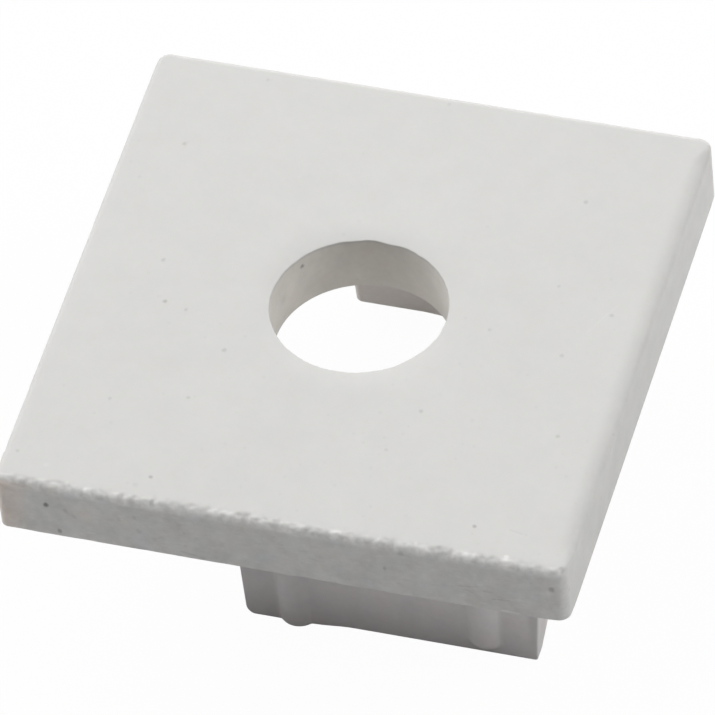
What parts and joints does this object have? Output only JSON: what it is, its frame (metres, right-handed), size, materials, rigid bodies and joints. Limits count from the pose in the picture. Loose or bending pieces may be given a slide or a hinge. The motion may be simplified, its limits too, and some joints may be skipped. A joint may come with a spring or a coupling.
{
  "type": "profile end cap",
  "caption": "Square plastic end cap with a central cable hole and two ribbed press-in tabs, set to one side, that plug into the end of a profile.",
  "frame": {"origin": "centre of the cable hole on the plate's underside, the face that seats on the cut end of the profile", "axes": "+Z out through the plate's outer face along the cable hole, +X towards the side that the tabs are offset to"},
  "size_m": [0.02, 0.02, 0.008],
  "materials": {
    "grey_plastic": "fine spark-eroded grain"
  },
  "bodies": {
    "root": {"end_cap": "grey_plastic"}
  },
  "joints": []
}
